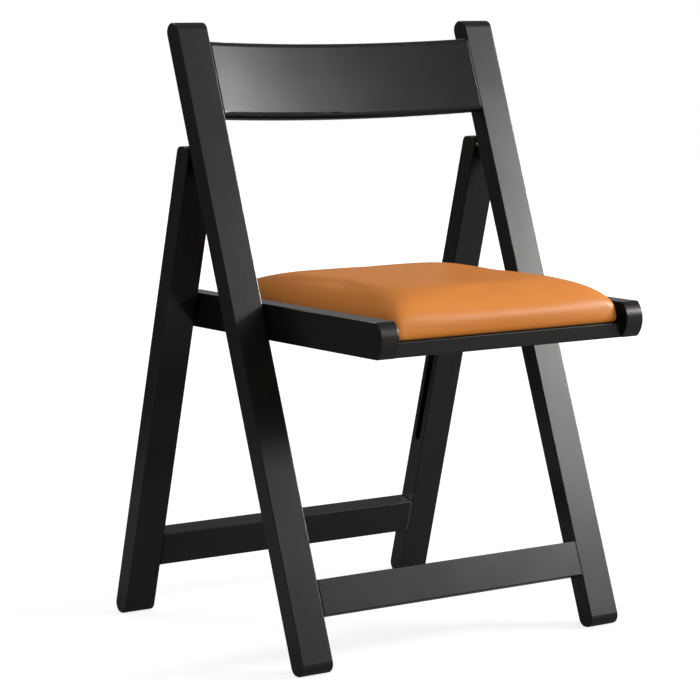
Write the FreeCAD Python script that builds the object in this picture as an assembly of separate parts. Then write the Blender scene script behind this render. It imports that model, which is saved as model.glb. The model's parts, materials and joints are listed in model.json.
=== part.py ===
"""Folding dining chair: two leaning bar frames hinged together and a padded seat that swings up between them.

Millimetres and degrees. +X is to the right as seen from the front, +Y is to the back and +Z is up.
The origin lies on the floor, under the middle of the open chair.
"""
import FreeCAD, Part
import math
import os

Vector = FreeCAD.Vector
os.makedirs("parts", exist_ok=True)

# Overall form
overall_width = 490.0
overall_height = 770.0
overall_depth = 532.0
post_lean = 20.0
front_foot_setback = 102.0
hinge_height = 608.0

# Planed bars
bar_width = 44.0
bar_thickness = 26.0
edge_round = 1.2
end_flat = 2.0
leg_top_round = 8.0
leg_top_above_hinge = 10.5
stretcher_height = 44.0
front_stretcher_rise = 67.0
rear_stretcher_rise = 69.0
dowel_radius = 5.0
dowel_length = 40.0
dowel_spacing = 22.0
dowel_relief = 1.0

# Curved back slat
slat_height = 100.0
slat_thickness = 18.0
slat_bow = 14.7
slat_drop = 27.5
slat_edge_round = 7.5
slat_dowel_spacing = 50.0

# Butt hinge between each post and its rear leg
hinge_leaf_width = 36.0
hinge_leaf_length = 20.0
hinge_leaf_thickness = 1.5
hinge_knuckle_radius = 3.0
hinge_pin_radius = 1.5
hinge_play = 0.3
hinge_screw_radius = 1.6
hinge_screw_head_radius = 3.1
hinge_screw_length = 16.0
hinge_screw_spread = 11.0
hinge_screw_first_row = 8.5
hinge_screw_end_inset = 5.0

# Seat frame
rail_top_height = 430.5
rail_gap = 2.5
rail_nose_bulge = 10.0
rail_nose_ease = 2.5
rail_tail_round = 8.0
rail_tail_length = 30.0
cross_rail_height = 19.0
cross_rail_depth = 40.0
cross_rail_setback = 11.0
cross_rail_round = 2.0
seat_dowel_radius = 4.0
seat_dowel_length = 30.0
seat_dowel_spacing = 20.0

# Seat pivot
pivot_radius = 4.0
pivot_insert_radius = 6.0
pivot_insert_length = 20.0
pivot_thread_length = 18.0
pivot_bush_radius = 6.0
pivot_head_radius = 6.5
pivot_head_height = 4.5
pivot_head_room = 0.75
pivot_washer_radius = 9.0
pivot_head_recess = 6.0

# Guide in the rear legs
groove_width = 10.4
groove_depth = 9.5
groove_run_out = 57.0
guide_pin_radius = 3.0
guide_flange_radius = 7.0
guide_flange_thickness = 1.6

# Seat pad
pad_depth = 370.0
pad_edge_height = 33.0
pad_crown = 21.5
pad_haunch = 55.0
pad_end_crown = 3.0
pad_shoulder_round = 14.0
pad_corner_round = 9.0
pad_draw_in = 2.0
pad_side_gap = 0.5
leather_thickness = 1.6
leather_turn_under = 25.0
board_thickness = 9.0
board_screw_radius = 2.0
board_screw_head_radius = 3.8
board_screw_bite = 7.0
board_screw_inset = 31.0
board_screw_spread = 220.0

# Clearances, and the length below which two places count as one
running_fit = 0.05
slide_fit = 0.2
face_gap = 0.3
tiny = 1e-6

# Round of the feet and of the posts' tops, which leaves a narrow level flat
end_round = (bar_thickness - end_flat) / 2

# Lateral places
bar_centre_x = (overall_width - bar_width) / 2
inner_x = overall_width / 2 - bar_width
rail_outer_x = inner_x - rail_gap
rail_inner_x = rail_outer_x - bar_thickness
sides = {"left": -1, "right": 1}

# Front frame: up the post, backward across it, and where its centre line meets the floor
post_angle = math.radians(post_lean)
post_up = Vector(0, math.sin(post_angle), math.cos(post_angle))
post_back = Vector(0, math.cos(post_angle), -math.sin(post_angle))
post_level_half = bar_thickness / 2 / math.cos(post_angle)
post_foot = Vector(0, front_foot_setback - overall_depth / 2, 0)


def post_point(along, across, x=0.0):
    """Point on the post frame: distance up the post and backward from its centre line."""
    return post_foot + post_up * along + post_back * across + Vector(x, 0, 0)


# The hinge pins lie behind the posts, as far from them as from the rear legs
hinge_stand_off = bar_thickness / 2 + hinge_knuckle_radius + hinge_play
hinge_on_post = (hinge_height + hinge_stand_off * math.sin(post_angle)) / math.cos(post_angle)
hinge_axis = post_point(hinge_on_post, hinge_stand_off)


def leg_lean_from(hinge):
    """Lean of the leg that stands off the hinge and whose eased heel is the chair's rearmost point."""
    reach_back = overall_depth / 2 - end_round - hinge.y
    reach_up = hinge.z - end_round
    offset = hinge_stand_off - end_round + bar_thickness / 2
    return math.acos(offset / math.hypot(reach_back, reach_up)) - math.atan2(reach_up, reach_back)


# Rear frame: up the leg, backward across it, and where its centre line meets the floor
leg_angle = leg_lean_from(hinge_axis)
leg_up = Vector(0, -math.sin(leg_angle), math.cos(leg_angle))
leg_back = Vector(0, math.cos(leg_angle), math.sin(leg_angle))
leg_level_half = bar_thickness / 2 / math.cos(leg_angle)
heel_inset = end_round * (1 / math.cos(leg_angle) + math.tan(leg_angle) - 1)
leg_foot = Vector(0, overall_depth / 2 + heel_inset - leg_level_half, 0)
leg_top_height = hinge_height + leg_top_above_hinge


def leg_point(along, across, x=0.0):
    """Point on the rear frame: distance up the leg and backward from its centre line."""
    return leg_foot + leg_up * along + leg_back * across + Vector(x, 0, 0)


# Axes of the seat's pivots and guides, along X like the hinges
hinge_on_leg = (hinge_axis - leg_foot).dot(leg_up)
rail_centre_height = rail_top_height - bar_width / 2
pivot_on_post = rail_centre_height / math.cos(post_angle)
guide_on_leg = rail_centre_height / math.cos(leg_angle)
pivot_axis = post_point(pivot_on_post, 0)
guide_axis = leg_point(guide_on_leg, 0)

# With the legs folded parallel to the posts, the guide stands this far up the leg
guide_arm = (guide_axis - pivot_axis).Length
folded_offset = bar_thickness + 2 * (hinge_knuckle_radius + hinge_play)
folded_drop = hinge_on_post - pivot_on_post + math.sqrt(guide_arm**2 - folded_offset**2)
guide_folded_on_leg = hinge_on_leg - folded_drop


def along_x(start, length, radius):
    """Cylinder along +X from a start point."""
    return Part.makeCylinder(radius, length, start, Vector(1, 0, 0))


def reaching_x(side, base, depth, radius):
    """Cylinder from a base point outward on one side of the chair."""
    return Part.makeCylinder(radius, depth, base, Vector(side, 0, 0))


def slab(corners, x_low, x_high):
    """Solid between two X planes from a side-view polygon."""
    outline = Part.makePolygon([Vector(x_low, p.y, p.z) for p in corners + corners[:1]])
    return Part.Face(outline).extrude(Vector(x_high - x_low, 0, 0))


def edges_along_x(shape):
    """Straight edges that run along X."""
    found = []
    for edge in shape.Edges:
        ends = edge.Vertexes
        if len(ends) == 2 and abs(abs(ends[1].X - ends[0].X) - edge.Length) < tiny:
            found.append(edge)
    return found


def slanted_bar(foot, slope, x_centre, level_half, top, top_round):
    """Bar cut level at the floor and at its top, with rounded ends and eased long edges."""
    def end_line(z, sign):
        return foot + Vector(0, slope * z + sign * level_half, z)

    corners = [end_line(0, -1), end_line(0, 1), end_line(top, 1), end_line(top, -1)]
    bar = slab(corners, x_centre - bar_width / 2, x_centre + bar_width / 2)
    for height, radius in ((0, end_round), (top, top_round)):
        end = [edge for edge in edges_along_x(bar) if abs(edge.Vertexes[0].Z - height) < tiny]
        bar = bar.makeFillet(radius, end)
    long_edges = [edge for edge in bar.Edges if edge.BoundBox.ZLength > top / 2]
    return bar.makeFillet(edge_round, long_edges)


def bar_between(point, low, high):
    """Stretcher between the inner faces of two bars of one frame, flush with both their faces."""
    half = bar_thickness / 2
    corners = [point(low, -half), point(high, -half), point(high, half), point(low, half)]
    block = slab(corners, -inner_x, inner_x)
    return block.makeFillet(edge_round, edges_along_x(block))


def dowels_at(points, radius, length, joint_x):
    """Dowels along X across a pair of joints, half their length in each piece."""
    pins = []
    for side in sides.values():
        for point in points:
            start = Vector(side * joint_x - length / 2, point.y, point.z)
            pins.append(along_x(start, length, radius))
    return pins


def dowel_holes(points, radius, length, joint_x):
    """Holes for the dowels, a little deeper than they need."""
    return dowels_at(points, radius, length + 2 * dowel_relief, joint_x)


def countersunk_screw(head_centre, direction, radius, head_radius, length):
    """Plain-shank countersunk screw with its head flush at head_centre."""
    head_height = head_radius - radius
    head = Part.makeCone(head_radius, radius, head_height, head_centre, direction)
    shank_start = head_centre + direction * head_height
    shank = Part.makeCylinder(radius, length - head_height, shank_start, direction)
    return head.fuse(shank).removeSplitter()


def spread_points(point, middle, spacing, across):
    """Two places on a frame, one each side of the middle of a joint."""
    return [point(middle - spacing / 2, across), point(middle + spacing / 2, across)]


def save(name, solids):
    """Write one node, which may be a group of separate solids."""
    pieces = solids if isinstance(solids, list) else [solids]
    shape = pieces[0] if len(pieces) == 1 else Part.makeCompound(pieces)
    shape.exportStep("parts/" + name + ".step")
    print(name, len(shape.Solids), "solid", round(shape.Volume), "mm3", shape.isValid())


# Places of the dowelled joints
front_stretcher_top = front_stretcher_rise + stretcher_height
rear_stretcher_top = rear_stretcher_rise + stretcher_height
slat_top = overall_height / math.cos(post_angle) - slat_drop
slat_low = slat_top - slat_height
slat_front = -bar_thickness / 2
slat_end_across = slat_front + slat_thickness / 2
front_dowel_points = spread_points(post_point, front_stretcher_rise + stretcher_height / 2, dowel_spacing, 0)
rear_dowel_points = spread_points(leg_point, rear_stretcher_rise + stretcher_height / 2, dowel_spacing, 0)
slat_dowel_points = spread_points(post_point, slat_low + slat_height / 2, slat_dowel_spacing, slat_end_across)


# Hinge hardware
def hinge_screws(point, hinge_along, face_across, side):
    """Screws of one leaf, driven from its outer surface into the bar."""
    into_bar = -1 if face_across > 0 else 1
    surface = face_across - into_bar * hinge_leaf_thickness
    direction = (point(0, into_bar) - point(0, 0)).normalize()
    places = (
        (-hinge_screw_spread, hinge_screw_first_row),
        (0, hinge_leaf_length - hinge_screw_end_inset),
        (hinge_screw_spread, hinge_screw_first_row),
    )
    screws = []
    for offset, row in places:
        centre = point(hinge_along - row, surface, side * bar_centre_x + offset)
        screws.append(countersunk_screw(centre, direction, hinge_screw_radius, hinge_screw_head_radius,
                                        hinge_screw_length))
    return screws


def hinge_leaf(point, hinge_along, face_across, side, own_spans, other_spans, bore_radius, screws):
    """Leaf on one bar with its own knuckles, cut away round the other leaf's knuckles."""
    outward = 1 if face_across > 0 else -1
    surface = face_across + outward * hinge_leaf_thickness
    low = hinge_along - hinge_leaf_length
    left = side * bar_centre_x - hinge_leaf_width / 2
    corners = [point(low, face_across), point(hinge_along, face_across),
               point(hinge_along, surface), point(low, surface)]
    leaf = slab(corners, left, left + hinge_leaf_width)
    room = hinge_knuckle_radius + hinge_play
    for start, end in other_spans:
        cut_start = Vector(left + start - hinge_play, hinge_axis.y, hinge_axis.z)
        leaf = leaf.cut(along_x(cut_start, end - start + 2 * hinge_play, room))
    for start, end in own_spans:
        knuckle_start = Vector(left + start, hinge_axis.y, hinge_axis.z)
        leaf = leaf.fuse(along_x(knuckle_start, end - start, hinge_knuckle_radius))
    bore_start = Vector(left, hinge_axis.y, hinge_axis.z)
    return leaf.cut([along_x(bore_start, hinge_leaf_width, bore_radius)] + screws).removeSplitter()


def hinge_pin(side):
    """Pin through all the knuckles of one hinge."""
    start = Vector(side * bar_centre_x - hinge_leaf_width / 2, hinge_axis.y, hinge_axis.z)
    return along_x(start, hinge_leaf_width, hinge_pin_radius)


third = hinge_leaf_width / 3
outer_spans = [(0, third), (2 * third, hinge_leaf_width)]
middle_spans = [(third + hinge_play, 2 * third - hinge_play)]
half_bar = bar_thickness / 2
post_screws = {name: hinge_screws(post_point, hinge_on_post, half_bar, side) for name, side in sides.items()}
leg_screws = {name: hinge_screws(leg_point, hinge_on_leg, -half_bar, side) for name, side in sides.items()}


# Seat pivot hardware
def at_pivot(x):
    """Point on the seat's pivot axis."""
    return Vector(x, pivot_axis.y, pivot_axis.z)


def pivot_insert(side):
    """Threaded insert sunk in the post's inner face."""
    mouth = at_pivot(side * inner_x)
    sleeve = reaching_x(side, mouth, pivot_insert_length, pivot_insert_radius)
    return sleeve.cut(reaching_x(side, mouth, pivot_thread_length, pivot_radius))


def pivot_bolt(side):
    """Shoulder bolt from inside the rail into the post's insert, its head sunk in the rail."""
    head_seat = side * (rail_inner_x + pivot_head_recess - face_gap)
    head = reaching_x(-side, at_pivot(head_seat), pivot_head_height, pivot_head_radius)
    reach = inner_x + pivot_thread_length - abs(head_seat)
    return head.fuse(reaching_x(side, at_pivot(head_seat), reach, pivot_radius)).removeSplitter()


def pivot_bush(side):
    """Plain bush pressed into the rail, in which the seat turns on the bolt."""
    inner_end = at_pivot(side * (rail_inner_x + pivot_head_recess))
    length = bar_thickness - pivot_head_recess
    bush = reaching_x(side, inner_end, length, pivot_bush_radius)
    return bush.cut(reaching_x(side, inner_end, length, pivot_radius + running_fit))


def pivot_washer(side):
    """Spacing washer on the bolt between post and rail."""
    start = at_pivot(side * (rail_outer_x + face_gap))
    thickness = rail_gap - face_gap
    washer = reaching_x(side, start, thickness, pivot_washer_radius)
    return washer.cut(reaching_x(side, start, thickness, pivot_radius + running_fit))


# Front frame
def front_post(name, side):
    """Leaning front post, which runs up to carry the back slat."""
    post = slanted_bar(post_foot, math.tan(post_angle), side * bar_centre_x, post_level_half, overall_height,
                       end_round)
    holes = dowel_holes(front_dowel_points, dowel_radius, dowel_length, inner_x)
    holes += dowel_holes(slat_dowel_points, dowel_radius, dowel_length, inner_x)
    holes.append(reaching_x(side, at_pivot(side * inner_x), pivot_insert_length, pivot_insert_radius))
    return post.cut(holes + post_screws[name])


def back_slat():
    """Back slat, hollowed toward the sitter and rounded over along its top and bottom."""
    def arc(across):
        ends = [post_point(slat_low, across, x) for x in (-inner_x, inner_x)]
        middle = post_point(slat_low, across + slat_bow)
        return Part.Arc(ends[0], middle, ends[1]).toShape(), ends

    front_edge, front_ends = arc(slat_front)
    back_edge, back_ends = arc(slat_front + slat_thickness)
    end_lines = [Part.LineSegment(front_ends[i], back_ends[i]).toShape() for i in (0, 1)]
    outline = Part.Wire(Part.__sortEdges__([front_edge, end_lines[1], back_edge, end_lines[0]]))
    board = Part.Face(outline).extrude(post_up * slat_height)
    long_edges = [edge for edge in board.Edges if edge.Length > inner_x]
    board = board.makeFillet(slat_edge_round, long_edges)
    return board.cut(dowel_holes(slat_dowel_points, dowel_radius, dowel_length, inner_x))


def front_stretcher():
    """Low bar between the front posts."""
    bar = bar_between(post_point, front_stretcher_rise, front_stretcher_top)
    return bar.cut(dowel_holes(front_dowel_points, dowel_radius, dowel_length, inner_x))


# Rear frame
def guide_groove(side):
    """Round-ended groove in a rear leg's inner face, from the open seat's guide down past the folded one."""
    radius = groove_width / 2
    top = guide_on_leg + slide_fit
    low = guide_folded_on_leg - groove_run_out + radius
    x = side * inner_x
    corners = [leg_point(low, -radius, x), leg_point(top, -radius, x),
               leg_point(top, radius, x), leg_point(low, radius, x)]
    edges = [
        Part.LineSegment(corners[0], corners[1]).toShape(),
        Part.Arc(corners[1], leg_point(top + radius, 0, x), corners[2]).toShape(),
        Part.LineSegment(corners[2], corners[3]).toShape(),
        Part.Arc(corners[3], leg_point(low - radius, 0, x), corners[0]).toShape(),
    ]
    return Part.Face(Part.Wire(edges)).extrude(Vector(side * groove_depth, 0, 0))


def rear_leg(name, side):
    """Leaning rear leg with the guide groove in its inner face."""
    leg = slanted_bar(leg_foot, -math.tan(leg_angle), side * bar_centre_x, leg_level_half, leg_top_height,
                      leg_top_round)
    holes = dowel_holes(rear_dowel_points, dowel_radius, dowel_length, inner_x)
    return leg.cut(holes + [guide_groove(side)] + leg_screws[name])


def rear_stretcher():
    """Low bar between the rear legs."""
    bar = bar_between(leg_point, rear_stretcher_rise, rear_stretcher_top)
    return bar.cut(dowel_holes(rear_dowel_points, dowel_radius, dowel_length, inner_x))


# Seat frame
rail_low_height = rail_top_height - bar_width
rail_nose_y = -overall_depth / 2
rail_tail_y = guide_axis.y + rail_tail_length
pad_front_y = rail_nose_y + cross_rail_setback
pad_back_y = pad_front_y + pad_depth
cross_rail_top = rail_low_height + cross_rail_height
front_rail_span = (pad_front_y, pad_front_y + cross_rail_depth)
rear_rail_span = (pad_back_y - cross_rail_depth, pad_back_y)


def cross_rail_dowels(span):
    """Places of the dowels at each end of a cross rail."""
    middle = sum(span) / 2
    z = rail_low_height + cross_rail_height / 2
    return [Vector(0, middle + sign * seat_dowel_spacing / 2, z) for sign in (-1, 1)]


seat_dowel_points = cross_rail_dowels(front_rail_span) + cross_rail_dowels(rear_rail_span)
front_screw_y = pad_front_y + board_screw_inset
rear_screw_y = pad_back_y - board_screw_inset


def board_screws(y):
    """Screws up through a cross rail into the seat board."""
    length = cross_rail_height + leather_thickness + board_screw_bite
    places = [Vector(sign * board_screw_spread / 2, y, rail_low_height) for sign in (-1, 1)]
    return [
        countersunk_screw(p, Vector(0, 0, 1), board_screw_radius, board_screw_head_radius, length)
        for p in places
    ]


def seat_rail(side):
    """Side rail with a bulging nose, bored for the pivot and hollowed for the bolt's head."""
    x_low, x_high = sorted((side * rail_inner_x, side * rail_outer_x))
    nose_root_y = rail_nose_y + rail_nose_bulge

    def at(y, z):
        return Vector(x_low, y, z)

    low_front, low_back = at(nose_root_y, rail_low_height), at(rail_tail_y, rail_low_height)
    top_front, top_back = at(nose_root_y, rail_top_height), at(rail_tail_y, rail_top_height)
    outline = Part.Wire([
        Part.LineSegment(low_front, low_back).toShape(),
        Part.LineSegment(low_back, top_back).toShape(),
        Part.LineSegment(top_back, top_front).toShape(),
        Part.Arc(top_front, at(rail_nose_y, rail_centre_height), low_front).toShape(),
    ])
    rail = Part.Face(outline).extrude(Vector(x_high - x_low, 0, 0))
    middle_y = (rail_nose_y + rail_tail_y) / 2
    nose = [edge for edge in edges_along_x(rail) if edge.Vertexes[0].Y < middle_y]
    rail = rail.makeFillet(rail_nose_ease, nose)
    tail = [edge for edge in edges_along_x(rail) if edge.Vertexes[0].Y > rail_tail_y - tiny]
    rail = rail.makeFillet(rail_tail_round, tail)
    rims = [edge for edge in rail.Edges if edge.BoundBox.XLength < tiny]
    rail = rail.makeFillet(edge_round, rims)
    bore = reaching_x(side, at_pivot(side * rail_inner_x), bar_thickness, pivot_bush_radius)
    recess = reaching_x(side, at_pivot(side * rail_inner_x), pivot_head_recess,
                        pivot_head_radius + pivot_head_room)
    holes = dowel_holes(seat_dowel_points, seat_dowel_radius, seat_dowel_length, rail_inner_x)
    return rail.cut([bore, recess] + holes)


def cross_rail(span, screw_y):
    """Low rail between the side rails, on which the pad rests."""
    corners = [Vector(0, span[0], rail_low_height), Vector(0, span[1], rail_low_height),
               Vector(0, span[1], cross_rail_top), Vector(0, span[0], cross_rail_top)]
    rail = slab(corners, -rail_inner_x, rail_inner_x)
    rail = rail.makeFillet(cross_rail_round, edges_along_x(rail))
    holes = dowel_holes(seat_dowel_points, seat_dowel_radius, seat_dowel_length, rail_inner_x)
    return rail.cut(holes + board_screws(screw_y))


# Seat pad
def round_over(distance, radius):
    """Drop of a quarter round at a distance from its start."""
    if distance >= radius:
        return 0.0
    return radius - math.sqrt(radius**2 - (radius - distance)**2)


haunch_radius = (pad_haunch**2 + pad_crown**2) / (2 * pad_crown)

# Places of the pad's sections in from each end, as shares of its shoulder and then of its haunch
shoulder_shares = (0.0, 0.15, 0.45, 1.0)
haunch_shares = (0.45, 0.7, 1.0, 1.3, 2.0)


def crown_at(distance):
    """Height of the pad's crown above its edge at a distance from the nearer end."""
    short = max(0.0, pad_haunch - distance)
    rise = math.sqrt(haunch_radius**2 - short**2) - haunch_radius + pad_crown
    return pad_end_crown + rise * (1 - pad_end_crown / pad_crown)


def pad_wire(y, distance, inset):
    """Upright section of the pad: sides, round shoulders, and haunches that bend over to the level crown."""
    crown = crown_at(distance)
    half = rail_inner_x - pad_side_gap - inset - pad_draw_in * crown / pad_crown
    half -= round_over(distance, pad_corner_round)
    edge = cross_rail_top + pad_edge_height - inset - round_over(distance, pad_shoulder_round)
    low = cross_rail_top - pad_shoulder_round

    shoulder = pad_shoulder_round - inset
    haunch = haunch_radius - inset
    lean = math.acos(1 - crown / haunch)
    shoulder_x = half - shoulder
    shoulder_z = edge - shoulder * math.cos(lean)
    haunch_x = shoulder_x - (haunch - shoulder) * math.sin(lean)
    haunch_z = edge + crown - haunch

    def at(side, x, z):
        return Vector(side * x, y, z)

    def on_shoulder(side, angle):
        return at(side, shoulder_x + shoulder * math.sin(angle), shoulder_z + shoulder * math.cos(angle))

    def on_haunch(side, angle):
        return at(side, haunch_x + haunch * math.sin(angle), haunch_z + haunch * math.cos(angle))

    def shoulder_arc(side):
        middle = on_shoulder(side, (lean + math.pi / 2) / 2)
        return Part.Arc(at(side, half, shoulder_z), middle, on_shoulder(side, lean)).toShape()

    def haunch_arc(side):
        return Part.Arc(on_haunch(side, lean), on_haunch(side, lean / 2), on_haunch(side, 0)).toShape()

    return Part.Wire([
        Part.LineSegment(at(-1, half, low), at(1, half, low)).toShape(),
        Part.LineSegment(at(1, half, low), at(1, half, shoulder_z)).toShape(),
        shoulder_arc(1),
        haunch_arc(1),
        Part.LineSegment(on_haunch(1, 0), on_haunch(-1, 0)).toShape(),
        haunch_arc(-1),
        shoulder_arc(-1),
        Part.LineSegment(at(-1, half, shoulder_z), at(-1, half, low)).toShape(),
    ])


def pad_form(inset, base):
    """Crowned pad with drawn-in sides, shrunk all round by an inset and cut flat at its base."""
    half_depth = pad_depth / 2 - inset
    distances = [share * pad_shoulder_round for share in shoulder_shares]
    distances += [share * pad_haunch for share in haunch_shares]
    wires = []
    for distance in distances + [half_depth]:
        wires.append(pad_wire(pad_front_y + inset + distance, distance, inset))
    for distance in reversed(distances):
        wires.append(pad_wire(pad_back_y - inset - distance, distance, inset))
    room = pad_shoulder_round
    corner = Vector(-rail_inner_x - room, pad_front_y - room, cross_rail_top - 2 * room)
    below = Part.makeBox(2 * (rail_inner_x + room), pad_depth + 2 * room, base - corner.z, corner)
    return Part.makeLoft(wires, True, False).cut(below)


board_low = cross_rail_top + leather_thickness
board_top = board_low + board_thickness
lining = leather_thickness + face_gap


def seat_cover():
    """Leather drawn over the pad and turned under the board all round."""
    skin = pad_form(0, cross_rail_top).cut(pad_form(leather_thickness, board_low))
    half_x = rail_inner_x - pad_side_gap - leather_turn_under
    length = pad_depth - 2 * leather_turn_under
    corner = Vector(-half_x, pad_front_y + leather_turn_under, cross_rail_top - face_gap)
    return skin.cut(Part.makeBox(2 * half_x, length, leather_thickness + 2 * face_gap, corner))


def seat_board():
    """Plywood board inside the pad."""
    half_x = rail_inner_x - pad_side_gap - pad_draw_in - lining
    corner = Vector(-half_x, pad_front_y + lining, board_low)
    board = Part.makeBox(2 * half_x, pad_depth - 2 * lining, board_thickness, corner)
    upright = [edge for edge in board.Edges if edge.BoundBox.ZLength > tiny]
    board = board.makeFillet(pad_corner_round, upright)
    return board.cut(board_screws(front_screw_y) + board_screws(rear_screw_y))


def seat_foam():
    """Foam block on the board, crowned like the pad."""
    return pad_form(lining, board_top)


# Guides in the rear legs
def at_guide(x):
    """Point on the axis of the open seat's guide."""
    return Vector(x, guide_axis.y, guide_axis.z)


def guide_pin(side):
    """Flanged pin at the seat rail's outer face, reaching into the leg's groove."""
    start = rail_outer_x + face_gap
    flange = reaching_x(side, at_guide(side * start), guide_flange_thickness, guide_flange_radius)
    reach = inner_x + groove_depth - face_gap - start
    return flange.fuse(reaching_x(side, at_guide(side * start), reach, guide_pin_radius)).removeSplitter()


def guide_glide(side):
    """Plastic sleeve on the pin, which slides in the groove."""
    start = at_guide(side * (inner_x + face_gap))
    length = groove_depth - 2 * face_gap
    sleeve = reaching_x(side, start, length, groove_width / 2 - slide_fit / 2)
    return sleeve.cut(reaching_x(side, start, length, guide_pin_radius))


for name, side in sides.items():
    save("front_post_" + name, front_post(name, side))
    save("rear_leg_" + name, rear_leg(name, side))
    save("hinge_post_leaf_" + name, hinge_leaf(post_point, hinge_on_post, half_bar, side, outer_spans,
                                               middle_spans, hinge_pin_radius, post_screws[name]))
    save("hinge_leg_leaf_" + name, hinge_leaf(leg_point, hinge_on_leg, -half_bar, side, middle_spans,
                                              outer_spans, hinge_pin_radius + running_fit, leg_screws[name]))
    save("hinge_pin_" + name, hinge_pin(side))
    save("pivot_bolt_" + name, pivot_bolt(side))
    save("pivot_bush_" + name, pivot_bush(side))
    save("seat_rail_" + name, seat_rail(side))
    save("guide_pin_" + name, guide_pin(side))
    save("guide_glide_" + name, guide_glide(side))

save("back_slat", back_slat())
save("front_stretcher", front_stretcher())
save("rear_stretcher", rear_stretcher())
save("back_slat_dowels", dowels_at(slat_dowel_points, dowel_radius, dowel_length, inner_x))
save("front_stretcher_dowels", dowels_at(front_dowel_points, dowel_radius, dowel_length, inner_x))
save("rear_stretcher_dowels", dowels_at(rear_dowel_points, dowel_radius, dowel_length, inner_x))
save("hinge_post_screws", post_screws["left"] + post_screws["right"])
save("hinge_leg_screws", leg_screws["left"] + leg_screws["right"])
save("pivot_inserts", [pivot_insert(side) for side in sides.values()])
save("pivot_washers", [pivot_washer(side) for side in sides.values()])
save("seat_front_rail", cross_rail(front_rail_span, front_screw_y))
save("seat_rear_rail", cross_rail(rear_rail_span, rear_screw_y))
save("seat_frame_dowels", dowels_at(seat_dowel_points, seat_dowel_radius, seat_dowel_length, rail_inner_x))
save("seat_board_screws", board_screws(front_screw_y) + board_screws(rear_screw_y))
save("seat_board", seat_board())
save("seat_foam", seat_foam())
save("seat_cover", seat_cover())

print("hinge axis", hinge_axis, "pivot axis", pivot_axis, "guide axis", guide_axis)
print("leg lean", math.degrees(leg_angle), "leg foot", leg_foot)
print("guide up the leg: open", guide_on_leg, "folded", guide_folded_on_leg)
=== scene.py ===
"""Looks of the folding dining chair: black lacquered bars, blackened hinges and a tan leather seat pad.

Metres, in the chair's own frame: +X to the right as seen from the front, +Y to the back and +Z up
from the floor.
"""
import json
import math

import bmesh
import bpy
from mathutils import Matrix, Vector


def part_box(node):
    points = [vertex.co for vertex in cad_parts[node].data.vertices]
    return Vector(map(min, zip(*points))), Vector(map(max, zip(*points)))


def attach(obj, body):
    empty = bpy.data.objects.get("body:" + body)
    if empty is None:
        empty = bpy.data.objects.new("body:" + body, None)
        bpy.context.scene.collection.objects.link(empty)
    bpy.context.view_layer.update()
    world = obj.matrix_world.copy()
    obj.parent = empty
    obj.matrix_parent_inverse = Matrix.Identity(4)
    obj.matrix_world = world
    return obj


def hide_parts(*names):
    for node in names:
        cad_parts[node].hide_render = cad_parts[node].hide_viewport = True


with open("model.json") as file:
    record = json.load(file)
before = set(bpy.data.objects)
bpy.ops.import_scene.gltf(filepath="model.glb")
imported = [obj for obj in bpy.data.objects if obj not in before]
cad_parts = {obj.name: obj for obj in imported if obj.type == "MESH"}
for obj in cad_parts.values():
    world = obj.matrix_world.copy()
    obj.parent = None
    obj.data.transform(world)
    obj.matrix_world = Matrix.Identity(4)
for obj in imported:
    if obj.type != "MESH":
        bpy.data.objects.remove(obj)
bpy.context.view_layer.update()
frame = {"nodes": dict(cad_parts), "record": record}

nodes = frame["nodes"]
scene = bpy.context.scene
mm = 0.001
whole = (0.0, 1.0)
white = (1, 1, 1, 1)
black = (0, 0, 0, 1)

# Camera, as the photograph was taken
camera_place = (-1.9879, -2.7467, 0.8017)
camera_turn = math.radians(35.128)
camera_dip = math.radians(7.482)
camera_lens = 138.33
camera_sensor = 36.0

# Studio floor
floor_size = 14.0
floor_tone = 0.11
floor_tone_seen = 0.2
floor_patch_size = 0.8
floor_patch_gain = 1.05
floor_glow = 0.78
floor_glow_far = 1.0
floor_glow_reach = (1.5, 4.0)
floor_mirror_share = 0.03

# Studio light
fill_at_horizon = 0.75
fill_overhead = 1.4
fill_tilt = 0.5
lamp_aim = (0.0, 0.0, 0.45)
lamp_tint = (1.0, 0.985, 0.955)
soft_box_place = (5.0, -2.54, 2.49)
soft_box_width = 1.89
soft_box_height = 0.8
soft_box_power = 560.0
rear_box_place = (-2.29, 3.40, 3.32)
rear_box_width = 1.6
rear_box_height = 1.2
rear_box_power = 150.0

# Studio room, which shows only in reflections
wall_radius = 6.8
wall_height = 8.0
wall_tone = 0.165
wall_pieces = 60
opening_from = math.radians(84)
opening_to = math.radians(120)
opening_height = 2.2
flag_place = (-1.0, 1.2, 0.6)
flag_width = 2.0
flag_height = 1.2
flag_tone = 0.06
high_flag_place = (-0.15, 0.95, 1.15)
high_flag_width = 1.1
high_flag_height = 0.7
high_flag_tone = 0.0
card_place = (3.75, 5.18, 1.25)
card_width = 3.2
card_height = 1.6
card_tone = 0.30

# Grain, marks and wear that the finishes share
streak_span = (0.32, 0.68)
pore_span = (0.30, 0.48)
pores_per_streak = 6.0
mark_span = (0.3, 0.7)
speckles_per_mark = 40.0
speckle_span = (0.3, 0.7)
corner_span = (0.985, 0.80)
rub_break_span = (0.42, 0.62)

# Black lacquer
lacquer_tones = ((0.0040, 0.0036, 0.0030), (0.0060, 0.0055, 0.0047))
lacquer_rubbed_tone = (0.022, 0.020, 0.018)
lacquer_rub_share = 0.25
lacquer_roughness = (0.23, 0.255)
joint_line = 1.6 * mm
joint_depth = 1.0 * mm
joint_roughness = 0.9
past_all_bars = 1.0

# Tan leather
leather_tones = ((0.432, 0.142, 0.018), (0.466, 0.156, 0.023))
leather_hollow_tone = (0.34, 0.10, 0.02)
leather_hollow_share = 0.16
leather_roughness = (0.40, 0.45)
leather_pebbles_per_metre = 900.0
leather_crease_span = (0.0, 0.22)

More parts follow.
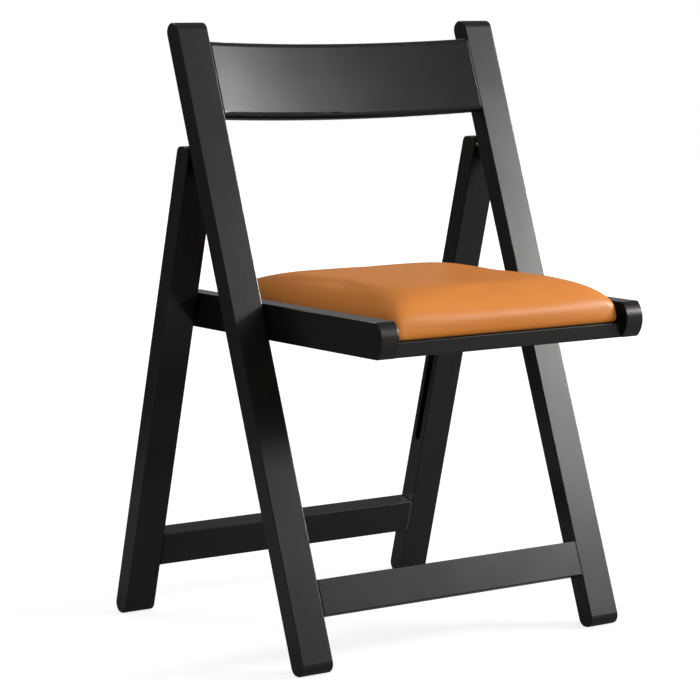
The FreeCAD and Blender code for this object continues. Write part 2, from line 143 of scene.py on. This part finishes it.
# Metals, nylon and bare wood
brass_tone = (0.52, 0.37, 0.16)
brass_rubbed_tone = (0.78, 0.62, 0.34)
brass_roughness = 0.34
black_steel_tone = (0.035, 0.034, 0.033)
black_steel_rubbed_tone = (0.09, 0.085, 0.08)
black_steel_roughness = 0.42
zinc_tone = (0.50, 0.50, 0.50)
zinc_rubbed_tone = (0.72, 0.72, 0.72)
zinc_roughness = 0.38
metal_dulling = 0.72
metal_roughness_swing = 0.07
nylon_tones = ((0.012, 0.012, 0.012), (0.022, 0.022, 0.022))
nylon_roughness = (0.45, 0.6)
beech_tones = ((0.44, 0.27, 0.14), (0.60, 0.41, 0.24))
plywood_tones = ((0.42, 0.27, 0.14), (0.58, 0.41, 0.24))
bare_wood_roughness = (0.72, 0.6)

# Seat pad
pad_wall = 20.5 * mm
pad_start_drop = 1.5 * mm
pad_start_inset = 1.5 * mm
pad_power_across = 9.0
pad_power_along = 6.0
pad_arch_steps = 600
pad_corner = 10.0 * mm
pad_draw_in = 2.0 * mm
pad_turn_under = 25.0 * mm
pad_recess = 5.0 * mm
pad_mesh_step = 5.0 * mm
pad_wall_levels = (0.0, 0.05, 0.15, 0.3, 0.5, 0.75, 1.0)
pad_roll = 7.0 * mm
pad_roll_in = 4.0 * mm
pad_held_margin = 1.0 * mm
pad_stiffness = 40.0
pad_bending = 8.0
pad_pressure = 4.0
pad_puff_frames = 20
pad_puff_limit = 2.0 * mm
pad_smooth_rounds = 6
pad_smooth_share = 0.5
pad_smooth_from = 0.4

# Small fastenings under the seat
staple_length = 10.0 * mm
staple_width = 1.3 * mm
staple_height = 0.6 * mm
staple_inset = 15.0 * mm
staple_spacing = 30.0 * mm
staple_lean = math.radians(14)
board_screw_head = 3.8 * mm
# Painted shade: flat dark crosses under the screw heads stand in for their shaded cross recesses
shade_cross_reach = 2.3 * mm
shade_cross_half_width = 0.45 * mm
shade_cross_lift = 0.05 * mm

# Hinge pin heads
pin_head_radius = 2.8 * mm
pin_head_length = 3.3 * mm
pin_head_gap = 0.1 * mm
pin_head_facets = 24
pin_head_rings = 6


# Shader helpers
def feed(tree, node, values):
    """Set or link a node's inputs."""
    for name, value in values.items():
        if isinstance(value, bpy.types.NodeSocket):
            tree.links.new(value, node.inputs[name])
        else:
            node.inputs[name].default_value = value


def put(tree, kind, values=None, **options):
    """Add a shader node with its options and its inputs."""
    node = tree.nodes.new("ShaderNode" + kind)
    for option, setting in options.items():
        setattr(node, option, setting)
    feed(tree, node, values or {})
    return node


def math_node(tree, operation, first, second=0.0, clamp=False):
    """Output of a one-step sum."""
    return put(tree, "Math", {0: first, 1: second}, operation=operation, use_clamp=clamp).outputs[0]


def mix_tones(tree, share, first, second):
    """Output of a blend of two colours, each a link or three numbers."""
    ends = [end if isinstance(end, bpy.types.NodeSocket) else (*end, 1) for end in (first, second)]
    return put(tree, "Mix", {0: share, 6: ends[0], 7: ends[1]}, data_type="RGBA").outputs[2]


def spread(tree, value, span, ends=whole):
    """Output of a value moved from one span to another."""
    limits = dict(zip(("From Min", "From Max", "To Min", "To Max"), (*span, *ends)))
    return put(tree, "MapRange", {"Value": value, **limits}).outputs[0]


def new_effect(name, inputs, outputs):
    """Empty node group with named inputs and outputs; returns the tree and its two ends."""
    tree = bpy.data.node_groups.new(name, "ShaderNodeTree")
    for label, kind in inputs.items():
        tree.interface.new_socket(name=label, in_out="INPUT", socket_type="NodeSocket" + kind)
    for label, kind in outputs.items():
        tree.interface.new_socket(name=label, in_out="OUTPUT", socket_type="NodeSocket" + kind)
    return tree, tree.nodes.new("NodeGroupInput"), tree.nodes.new("NodeGroupOutput")


def use_effect(tree, effect, values):
    """Place an effect in a material with its own values; returns its outputs."""
    return put(tree, "Group", values, node_tree=effect).outputs


def new_finish(name, shine):
    """Material with a plain shine; returns it with its tree, its shader and the chair's own coordinates."""
    finish = bpy.data.materials.new(name)
    finish.use_nodes = True
    tree = finish.node_tree
    shader = tree.nodes["Principled BSDF"]
    feed(tree, shader, shine)
    place = put(tree, "TexCoord").outputs["Object"]
    return finish, tree, shader, place


# Effects that several finishes share
def long_grain_effect():
    """Streaks and open pores drawn out along one direction of the wood."""
    tree, ends_in, ends_out = new_effect(
        "long_grain",
        {"Place": "Vector", "Direction": "Vector", "Fineness": "Float", "Stretch": "Float"},
        {"Streaks": "Float", "Pores": "Float"},
    )
    place, direction = ends_in.outputs["Place"], ends_in.outputs["Direction"]
    fineness = ends_in.outputs["Fineness"]
    along = put(tree, "VectorMath", {0: place, 1: direction}, operation="DOT_PRODUCT").outputs["Value"]
    pull = math_node(tree, "MULTIPLY", along, ends_in.outputs["Stretch"])
    shift = put(tree, "VectorMath", {0: direction, "Scale": pull}, operation="SCALE").outputs[0]
    drawn = put(tree, "VectorMath", {0: place, 1: shift}, operation="SUBTRACT").outputs[0]
    streaks = put(tree, "TexNoise", {"Vector": drawn, "Scale": fineness, "Detail": 5.0,
                                     "Roughness": 0.6, "Distortion": 0.4}).outputs["Fac"]
    pore_fineness = math_node(tree, "MULTIPLY", fineness, pores_per_streak)
    pores = put(tree, "TexNoise", {"Vector": drawn, "Scale": pore_fineness, "Detail": 2.0}).outputs["Fac"]
    feed(tree, ends_out, {"Streaks": spread(tree, streaks, streak_span),
                          "Pores": spread(tree, pores, pore_span)})
    return tree


def handling_effect():
    """Cloudy marks left by hands and cloths, and a fine speckle."""
    tree, ends_in, ends_out = new_effect(
        "handling_marks", {"Place": "Vector", "Size": "Float"}, {"Marks": "Float", "Speckle": "Float"})
    place = ends_in.outputs["Place"]
    scale = math_node(tree, "DIVIDE", 1.0, ends_in.outputs["Size"])
    clouds = put(tree, "TexNoise", {"Vector": place, "Scale": scale, "Detail": 4.0,
                                    "Roughness": 0.55}).outputs["Fac"]
    fine_scale = math_node(tree, "MULTIPLY", scale, speckles_per_mark)
    fine = put(tree, "TexNoise", {"Vector": place, "Scale": fine_scale, "Detail": 2.0}).outputs["Fac"]
    feed(tree, ends_out, {"Marks": spread(tree, clouds, mark_span), "Speckle": fine})
    return tree


def worn_edge_effect():
    """Mask of the corners that hands and floors rub, broken up along their length."""
    tree, ends_in, ends_out = new_effect(
        "worn_edge", {"Place": "Vector", "Width": "Float", "Breaks": "Float"}, {"Edge": "Float"})
    eased = put(tree, "Bevel", {"Radius": ends_in.outputs["Width"]}, samples=4).outputs["Normal"]
    flat = put(tree, "NewGeometry").outputs["Normal"]
    agreement = put(tree, "VectorMath", {0: eased, 1: flat}, operation="DOT_PRODUCT").outputs["Value"]
    corner = spread(tree, agreement, corner_span)
    patches = put(tree, "TexNoise", {"Vector": ends_in.outputs["Place"],
                                     "Scale": ends_in.outputs["Breaks"], "Detail": 3.0}).outputs["Fac"]
    broken = spread(tree, patches, rub_break_span)
    feed(tree, ends_out, {"Edge": math_node(tree, "MULTIPLY", corner, broken, clamp=True)})
    return tree


long_grain = long_grain_effect()
handling_marks = handling_effect()
worn_edge = worn_edge_effect()


# Finishes
def black_lacquer(name, direction, half_length=past_all_bars):
    """Satin black lacquer on planed beech, with its grain along the bar.

    A cross bar gives its half length, and gets dull joint lines at its two ends.
    """
    finish, tree, shader, place = new_finish(name, {"Specular IOR Level": 0.6})
    grain = use_effect(tree, long_grain, {"Place": place, "Direction": direction, "Fineness": 260.0,
                                          "Stretch": 0.965})
    marks = use_effect(tree, handling_marks, {"Place": place, "Size": 120 * mm})
    edge = use_effect(tree, worn_edge, {"Place": place, "Width": 1.2 * mm, "Breaks": 45.0})["Edge"]
    body = mix_tones(tree, grain["Streaks"], *lacquer_tones)
    rubbed = math_node(tree, "MULTIPLY", edge, lacquer_rub_share)
    satin = spread(tree, marks["Marks"], whole, lacquer_roughness)
    sideways = math_node(tree, "ABSOLUTE", put(tree, "SeparateXYZ", {0: place}).outputs["X"])
    joint = spread(tree, sideways, (half_length - joint_line, half_length))
    in_joint = math_node(tree, "GREATER_THAN", joint, 0.0)
    pores = put(tree, "Bump", {"Strength": 0.05, "Distance": 0.1 * mm, "Height": grain["Pores"]})
    eased = put(tree, "Bump", {"Distance": joint_depth, "Height": joint, "Normal": pores.outputs[0]},
                invert=True)
    feed(tree, shader, {
        "Base Color": mix_tones(tree, rubbed, body, lacquer_rubbed_tone),
        "Roughness": put(tree, "Mix", {0: in_joint, 2: satin, 3: joint_roughness}).outputs[0],
        "Normal": eased.outputs[0],
    })
    return finish


def tan_leather():
    """Smooth tan leather with a tight pebble, its hollows a little deeper in colour."""
    finish, tree, shader, place = new_finish("tan_leather", {"Specular IOR Level": 0.22})
    marks = use_effect(tree, handling_marks, {"Place": place, "Size": 160 * mm})
    pebble = put(tree, "TexVoronoi", {"Vector": place, "Scale": leather_pebbles_per_metre,
                                      "Randomness": 1.0}, feature="DISTANCE_TO_EDGE").outputs["Distance"]
    crease = spread(tree, pebble, leather_crease_span)
    soft = mix_tones(tree, marks["Marks"], *leather_tones)
    hollow = spread(tree, crease, whole, (leather_hollow_share, 0.0))
    bump = put(tree, "Bump", {"Strength": 0.12, "Distance": 0.15 * mm, "Height": crease})
    feed(tree, shader, {
        "Base Color": mix_tones(tree, hollow, soft, leather_hollow_tone),
        "Roughness": spread(tree, marks["Marks"], whole, leather_roughness),
        "Normal": bump.outputs[0],
    })
    return finish


def worked_metal(name, tone, rubbed_tone, roughness):
    """Plated steel: dull in the middle, brighter where it is rubbed."""
    finish, tree, shader, place = new_finish(name, {"Metallic": 1.0})
    marks = use_effect(tree, handling_marks, {"Place": place, "Size": 12 * mm})
    edge = use_effect(tree, worn_edge, {"Place": place, "Width": 0.5 * mm, "Breaks": 300.0})["Edge"]
    dull_tone = [channel * metal_dulling for channel in tone]
    body = mix_tones(tree, marks["Marks"], dull_tone, tone)
    swing = (roughness - metal_roughness_swing, roughness + metal_roughness_swing)
    feed(tree, shader, {
        "Base Color": mix_tones(tree, edge, body, rubbed_tone),
        "Roughness": spread(tree, marks["Speckle"], speckle_span, swing),
    })
    return finish


def black_nylon():
    """Moulded nylon with a fine spark-eroded skin."""
    finish, tree, shader, place = new_finish("black_nylon", {"Specular IOR Level": 0.4})
    marks = use_effect(tree, handling_marks, {"Place": place, "Size": 20 * mm})
    feed(tree, shader, {
        "Base Color": mix_tones(tree, marks["Marks"], *nylon_tones),
        "Roughness": spread(tree, marks["Speckle"], speckle_span, nylon_roughness),
    })
    return finish


def pale_wood(name, direction, tones):
    """Bare wood with its grain along one direction."""
    finish, tree, shader, place = new_finish(name, {"Specular IOR Level": 0.3})
    grain = use_effect(tree, long_grain, {"Place": place, "Direction": direction, "Fineness": 160.0,
                                          "Stretch": 0.95})
    bump = put(tree, "Bump", {"Strength": 0.2, "Distance": 0.1 * mm, "Height": grain["Pores"]})
    feed(tree, shader, {
        "Base Color": mix_tones(tree, grain["Streaks"], *tones),
        "Roughness": spread(tree, grain["Pores"], whole, bare_wood_roughness),
        "Normal": bump.outputs[0],
    })
    return finish


def direction_of(node):
    """Direction of a bar's length, from its lower to its upper end as seen from the side."""
    low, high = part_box(node)
    size = high - low
    rising = -1 if node.startswith("rear_leg") else 1
    return Vector((0, rising * size.y, size.z)).normalized()


def dress_frame():
    """Give every node of the chair its finish; returns the finishes by their slots."""
    across, level = (1, 0, 0), (0, 1, 0)
    half_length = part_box("front_stretcher")[1].x
    bars = {
        "front_post": black_lacquer("black_lacquer_post", direction_of("front_post_left")),
        "rear_leg": black_lacquer("black_lacquer_leg", direction_of("rear_leg_left")),
        "seat_rail": black_lacquer("black_lacquer_level", level),
    }
    slots = {
        "black_lacquered_wood": black_lacquer("black_lacquer_across", across, half_length),
        "brassed_steel": worked_metal("brassed_steel", brass_tone, brass_rubbed_tone, brass_roughness),
        "blackened_steel": worked_metal("blackened_steel", black_steel_tone, black_steel_rubbed_tone,
                                        black_steel_roughness),
        "zinc_steel": worked_metal("zinc_steel", zinc_tone, zinc_rubbed_tone, zinc_roughness),
        "black_nylon": black_nylon(),
        "bare_beech": pale_wood("bare_beech", across, beech_tones),
        "plywood": pale_wood("plywood", level, plywood_tones),
    }
    for part in frame["record"]["subparts"]:
        name = part["node"]
        # The pad takes the place of the cover and the foam, so the board's finish does for those
        finish = slots.get(part["material_slot"], slots["plywood"])
        for start, own_finish in bars.items():
            if name.startswith(start):
                finish = own_finish
        mesh = nodes[name].data
        mesh.materials.clear()
        mesh.materials.append(finish)
    return slots


slots = dress_frame()


# Pieces from built meshes
def object_from(name, block, finish):
    """Turn a built mesh into an object of the scene."""
    mesh = bpy.data.meshes.new(name)
    block.to_mesh(mesh)
    block.free()
    mesh.materials.append(finish)
    made = bpy.data.objects.new(name, mesh)
    scene.collection.objects.link(made)
    return made


def add_piece(name, block, finish, body):
    """Turn a built mesh into a piece that rides on a body."""
    piece = object_from(name, block, finish)
    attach(piece, body)
    return piece


# Seat pad
def arch(share, power):
    """Height of the pad's arch, from nothing at its edges to one in the middle."""
    return math.sqrt(max(0.0, 1 - abs(share) ** power))


def even_shares(half, rise, power):
    """Places from -1 to 1 that lie evenly along an arch of the pad."""
    fine = [math.sin(math.pi * (i / pad_arch_steps - 0.5)) for i in range(pad_arch_steps + 1)]
    lengths = [0.0]
    for before, after in zip(fine, fine[1:]):
        lift = rise * (arch(after, power) - arch(before, power))
        lengths.append(lengths[-1] + math.hypot(half * (after - before), lift))
    count = round(lengths[-1] / pad_mesh_step)
    places, spot = [], 0
    for step in range(count + 1):
        goal = lengths[-1] * step / count
        while spot < len(lengths) - 1 and lengths[spot] < goal:
            spot += 1
        places.append(fine[spot])
    return places


def in_plan(x, y, half_x, half_y):
    """Place of a point of the pad's plan once its corners are rounded and its sides drawn in."""
    inner = (half_x - pad_corner, half_y - pad_corner)
    near = Vector((max(-inner[0], min(inner[0], x)), max(-inner[1], min(inner[1], y))))
    out = Vector((x, y)) - near
    if out.x and out.y:
        out = out.normalized() * max(abs(out.x), abs(out.y))
    x, y = near + out
    waist = pad_draw_in * (1 - (y / half_y) ** 2)
    return x - waist * x / half_x, y


def block_out_pad(low, high):
    """Closed block of quads in the pad's form, hollowed below where the bare board shows."""
    mesh = bmesh.new()
    half_x, half_y, middle_y = (high.x - low.x) / 2, (high.y - low.y) / 2, (high.y + low.y) / 2
    rise = high.z - low.z - pad_wall - pad_start_drop
    across = even_shares(half_x, rise, pad_power_across)
    along = even_shares(half_y, rise, pad_power_along)
    last_i, last_j, levels = len(across) - 1, len(along) - 1, len(pad_wall_levels) - 1
    made = {}

    def vertex(i, j, k):
        if (i, j, k) not in made:
            u, v = across[i], along[j]
            x, y = in_plan(u * half_x, v * half_y, half_x, half_y)
            height = pad_wall * pad_wall_levels[k]
            curl = max(0.0, 1 - height / pad_roll)
            tuck = pad_roll_in * (1 - math.sqrt(1 - curl**2)) + pad_start_inset * height / pad_wall
            x, y = x - tuck * x / half_x, y - tuck * y / half_y
            z = low.z + height
            if k == levels:
                z += rise * arch(u, pad_power_across) * arch(v, pad_power_along)
            margin = min(half_x - abs(x), half_y - abs(y))
            if k == 0 and margin > pad_turn_under:
                z += pad_recess
            made[i, j, k] = mesh.verts.new((x, y + middle_y, z))
        return made[i, j, k]

    def face(*corners):
        mesh.faces.new([vertex(*corner) for corner in corners])

    for i in range(last_i):
        for j in range(last_j):
            for k in (0, levels):
                face((i, j, k), (i + 1, j, k), (i + 1, j + 1, k), (i, j + 1, k))
        for k in range(levels):
            for j in (0, last_j):
                face((i, j, k), (i + 1, j, k), (i + 1, j, k + 1), (i, j, k + 1))
    for j in range(last_j):
        for k in range(levels):
            for i in (0, last_i):
                face((i, j, k), (i, j + 1, k), (i, j + 1, k + 1), (i, j, k + 1))
    bmesh.ops.recalc_face_normals(mesh, faces=mesh.faces)
    return mesh


def blow_up(pad, low):
    """Places of the pad's points once air pressure fills its leather, with the underside held."""
    held = pad.vertex_groups.new(name="held")
    held_below = low.z + pad_recess + pad_held_margin
    held.add([vertex.index for vertex in pad.data.vertices if vertex.co.z < held_below], 1.0, "REPLACE")
    air = pad.modifiers.new("air", "CLOTH")
    leather = air.settings
    leather.vertex_group_mass = "held"
    leather.tension_stiffness = leather.compression_stiffness = leather.shear_stiffness = pad_stiffness
    leather.bending_stiffness = pad_bending
    leather.use_pressure = True
    leather.uniform_pressure_force = pad_pressure
    leather.effector_weights.gravity = 0
    for frame_number in range(1, pad_puff_frames + 1):
        scene.frame_set(frame_number)
    puffed = pad.evaluated_get(bpy.context.evaluated_depsgraph_get()).to_mesh()
    places = [vertex.co.copy() for vertex in puffed.vertices]
    pad.modifiers.remove(air)
    scene.frame_set(1)
    return places


def puff_up(pad, low, high):
    """Fill the leather with air, move no point past the limit, and smooth the skin."""
    mesh = pad.data
    start = [vertex.co.copy() for vertex in mesh.vertices]
    for vertex, old, new in zip(mesh.vertices, start, blow_up(pad, low)):
        shift = new - old
        if shift.length > pad_puff_limit:
            shift *= pad_puff_limit / shift.length
        spot = old + shift
        spot.x = max(low.x, min(high.x, spot.x))
        spot.y = max(low.y, min(high.y, spot.y))
        vertex.co = spot
    skin = bmesh.new()
    skin.from_mesh(mesh)
    loose = [vertex for vertex in skin.verts if vertex.co.z > low.z + pad_wall * pad_smooth_from]
    for _ in range(pad_smooth_rounds):
        bmesh.ops.smooth_vert(skin, verts=loose, factor=pad_smooth_share,
                              use_axis_x=True, use_axis_y=True, use_axis_z=True)
    skin.to_mesh(mesh)
    skin.free()


def seat_pad():
    """Leather pad between the side rails, turned under its board."""
    low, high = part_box("seat_cover")
    pad = object_from("seat_pad", block_out_pad(low, high), tan_leather())
    puff_up(pad, low, high)
    for face in pad.data.polygons:
        face.use_smooth = True
    smooth = pad.modifiers.new("fine_skin", "SUBSURF")
    smooth.levels = smooth.render_levels = 1
    # The satin bars keep their neutral black beside the pad
    pad.visible_glossy = False
    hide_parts("seat_cover", "seat_foam")
    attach(pad, "seat")


seat_pad()


# Small fastenings
def cover_staples():
    """Wire staples that hold the turned-under leather along both sides of the board."""
    low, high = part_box("seat_cover")
    front_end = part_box("seat_front_rail")[1].y + staple_length
    rear_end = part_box("seat_rear_rail")[0].y - staple_length
    count = round((rear_end - front_end) / staple_spacing)
    block = bmesh.new()
    size = Matrix.Diagonal((staple_width, staple_length, staple_height, 1))
    for x in (low.x + staple_inset, high.x - staple_inset):
        for i in range(count + 1):
            y = front_end + (rear_end - front_end) * i / count
            lean = staple_lean if i % 2 else -staple_lean / 2
            place = Matrix.Translation((x, y, low.z)) @ Matrix.Rotation(lean, 4, "Z") @ size
            bmesh.ops.create_cube(block, size=1.0, matrix=place)
    add_piece("cover_staples", block, slots["zinc_steel"], "seat")


def painted_screw_recess_shade():
    """Painted shade: flat dark crosses laid just below the heads of the board's screws, where their cross
    recesses would lie in shade.
    """
    low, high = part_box("seat_board_screws")
    near, far = shade_cross_half_width, shade_cross_reach
    arm = [(near, far), (-near, far), (-near, near)]
    cross = []
    for quarter in range(4):
        cross += arm
        arm = [(-y, x) for x, y in arm]
    block = bmesh.new()
    for x in (low.x + board_screw_head, high.x - board_screw_head):
        for y in (low.y + board_screw_head, high.y - board_screw_head):
            places = [(x + u, y + v, low.z - shade_cross_lift) for u, v in reversed(cross)]
            # Painted shade: a flat dark sheet in the cross's shape, laid just below the head's face
            block.faces.new([block.verts.new(place) for place in places])
    add_piece("painted_screw_recess_shade", block, slots["black_nylon"], "seat")


def add_dome(block, seat, inward):
    """Add a closed dome that rises along X from the middle of its flat seat."""
    rings = []
    for level in range(pin_head_rings):
        climb = math.pi / 2 * level / pin_head_rings
        x = seat.x + inward * pin_head_length * math.sin(climb)
        radius = pin_head_radius * math.cos(climb)
        rings.append([])
        for i in range(pin_head_facets):
            turn = math.tau * i / pin_head_facets
            place = (x, seat.y + radius * math.cos(turn), seat.z + radius * math.sin(turn))
            rings[-1].append(block.verts.new(place))
    tip = block.verts.new((seat.x + inward * pin_head_length, seat.y, seat.z))
    block.faces.new(rings[0])
    for i in range(pin_head_facets):
        after = (i + 1) % pin_head_facets
        for lower, upper in zip(rings, rings[1:]):
            block.faces.new((lower[i], lower[after], upper[after], upper[i])).smooth = True
        block.faces.new((rings[-1][i], rings[-1][after], tip)).smooth = True


def hinge_pin_heads():
    """Domed brass heads on the inner ends of the hinge pins, seen between post and leg."""
    block = bmesh.new()
    for pin, inward in (("hinge_pin_left", 1), ("hinge_pin_right", -1)):
        low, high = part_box(pin)
        seat = (low + high) / 2
        seat.x += inward * ((high.x - low.x) / 2 + pin_head_gap)
        add_dome(block, seat, inward)
    bmesh.ops.recalc_face_normals(block, faces=block.faces)
    return add_piece("hinge_pin_heads", block, slots["brassed_steel"], "front_frame")


cover_staples()
painted_screw_recess_shade()
pin_heads = hinge_pin_heads()


# Studio
def seen_share(tree, level, mirrored=1.0):
    """A level for rays that show the background, straight, mirrored or through glass, or else nothing."""
    path = put(tree, "LightPath").outputs
    mirror = math_node(tree, "MULTIPLY", path["Is Glossy Ray"], mirrored)
    seen = math_node(tree, "MAXIMUM", path["Is Camera Ray"], mirror)
    seen = math_node(tree, "MAXIMUM", seen, path["Is Transmission Ray"])
    return math_node(tree, "MULTIPLY", seen, level)


def studio_floor():
    """Pale floor that stays white to the eye and keeps the chair's shadow."""
    shine = {"Roughness": 0.9, "Specular IOR Level": 0.0, "Emission Color": white}
    finish, tree, shader, place = new_finish("pale_floor", shine)
    marks = use_effect(tree, handling_marks, {"Place": place, "Size": floor_patch_size})
    tone = spread(tree, marks["Marks"], whole, (floor_tone, floor_tone * floor_patch_gain))
    seen = put(tree, "LightPath").outputs["Is Camera Ray"]
    plain = put(tree, "Mix", {0: seen, 2: tone, 3: floor_tone_seen}).outputs[0]
    away = put(tree, "VectorMath", {0: place}, operation="LENGTH").outputs["Value"]
    glow = spread(tree, away, floor_glow_reach, (floor_glow, floor_glow_far))
    feed(tree, shader, {
        "Base Color": put(tree, "CombineColor", {0: plain, 1: plain, 2: plain}).outputs[0],
        "Emission Strength": seen_share(tree, glow, floor_mirror_share),
    })
    block = bmesh.new()
    bmesh.ops.create_grid(block, x_segments=1, y_segments=1, size=floor_size / 2)
    floor = object_from("studio_floor", block, finish)


def studio_world():
    """White surround, whose light on the chair grows from the horizon upwards and from left to right."""
    world = bpy.data.worlds.new("studio_world")
    scene.world = world
    world.use_nodes = True
    tree = world.node_tree
    side = put(tree, "SeparateXYZ", {0: put(tree, "TexCoord").outputs["Generated"]}).outputs
    rising = spread(tree, side["Z"], whole, (fill_at_horizon, fill_overhead))
    fill = math_node(tree, "ADD", rising, math_node(tree, "MULTIPLY", side["X"], fill_tilt))
    level = put(tree, "Mix", {0: seen_share(tree, 1.0), 2: fill, 3: 1.0}).outputs[0]
    feed(tree, tree.nodes["Background"], {"Color": white, "Strength": level})


def area_light(name, place, width, height, power):
    """Soft box aimed at the seat."""
    data = bpy.data.lights.new(name, "AREA")
    data.shape = "RECTANGLE"
    data.size = width
    data.size_y = height
    data.energy = power
    data.color = lamp_tint
    lamp = bpy.data.objects.new(name, data)
    lamp.location = place
    lamp.rotation_euler = (Vector(lamp_aim) - Vector(place)).to_track_quat("-Z", "Y").to_euler()
    scene.collection.objects.link(lamp)
    return lamp


def studio_lamps():
    """Soft box at the right, and one behind the left side that lights the frame and not the pad."""
    area_light("soft_box", soft_box_place, soft_box_width, soft_box_height, soft_box_power)
    rear_box = area_light("rear_box", rear_box_place, rear_box_width, rear_box_height, rear_box_power)
    lit_from_behind = bpy.data.collections.new("lit_from_behind")
    for piece in (*nodes.values(), pin_heads):
        lit_from_behind.objects.link(piece)
    rear_box.light_linking.receiver_collection = lit_from_behind


def only_in_reflections(name, block, tone):
    """Matt grey piece of the room that only mirrored rays meet."""
    shine = {"Base Color": black, "Roughness": 1.0, "Specular IOR Level": 0.0,
             "Emission Color": white, "Emission Strength": tone}
    panel = object_from(name, block, new_finish(name, shine)[0])
    panel.visible_camera = panel.visible_diffuse = panel.visible_transmission = False
    panel.visible_volume_scatter = panel.visible_shadow = False
    return panel


def standing_panel(name, place, width, height, tone):
    """Upright panel of the room that faces the chair."""
    block = bmesh.new()
    bmesh.ops.create_grid(block, x_segments=1, y_segments=1, size=0.5)
    bmesh.ops.scale(block, vec=(width, height, 1), verts=block.verts)
    panel = only_in_reflections(name, block, tone)
    panel.location = place
    panel.rotation_euler = (-Vector((place[0], place[1], 0))).to_track_quat("Z", "Y").to_euler()


def studio_room():
    """Grey walls and ceiling with a low opening behind the chair, two black flags and a pale card."""
    walls = bmesh.new()
    columns = []
    for i in range(wall_pieces):
        angle = math.tau * i / wall_pieces
        x, y = wall_radius * math.cos(angle), wall_radius * math.sin(angle)
        columns.append([walls.verts.new((x, y, z)) for z in (0, opening_height, wall_height)])
    for i in range(wall_pieces):
        before, after = columns[i], columns[(i + 1) % wall_pieces]
        middle = math.tau * (i + 0.5) / wall_pieces
        if not opening_from < middle < opening_to:
            walls.faces.new([before[0], after[0], after[1], before[1]])
        walls.faces.new([before[1], after[1], after[2], before[2]])
    walls.faces.new([column[2] for column in columns])
    only_in_reflections("studio_walls", walls, wall_tone)
    standing_panel("black_flag", flag_place, flag_width, flag_height, flag_tone)
    standing_panel("high_flag", high_flag_place, high_flag_width, high_flag_height, high_flag_tone)
    standing_panel("pale_card", card_place, card_width, card_height, card_tone)


def studio_camera():
    """Camera at the photograph's place."""
    data = bpy.data.cameras.new("photograph")
    data.lens = camera_lens
    data.sensor_width = camera_sensor
    camera = bpy.data.objects.new("photograph", data)
    camera.location = camera_place
    camera.rotation_euler = (math.pi / 2 - camera_dip, 0, -camera_turn)
    scene.collection.objects.link(camera)
    scene.camera = camera


studio_floor()
studio_world()
studio_lamps()
studio_room()
studio_camera()
scene.view_settings.view_transform = "Standard"
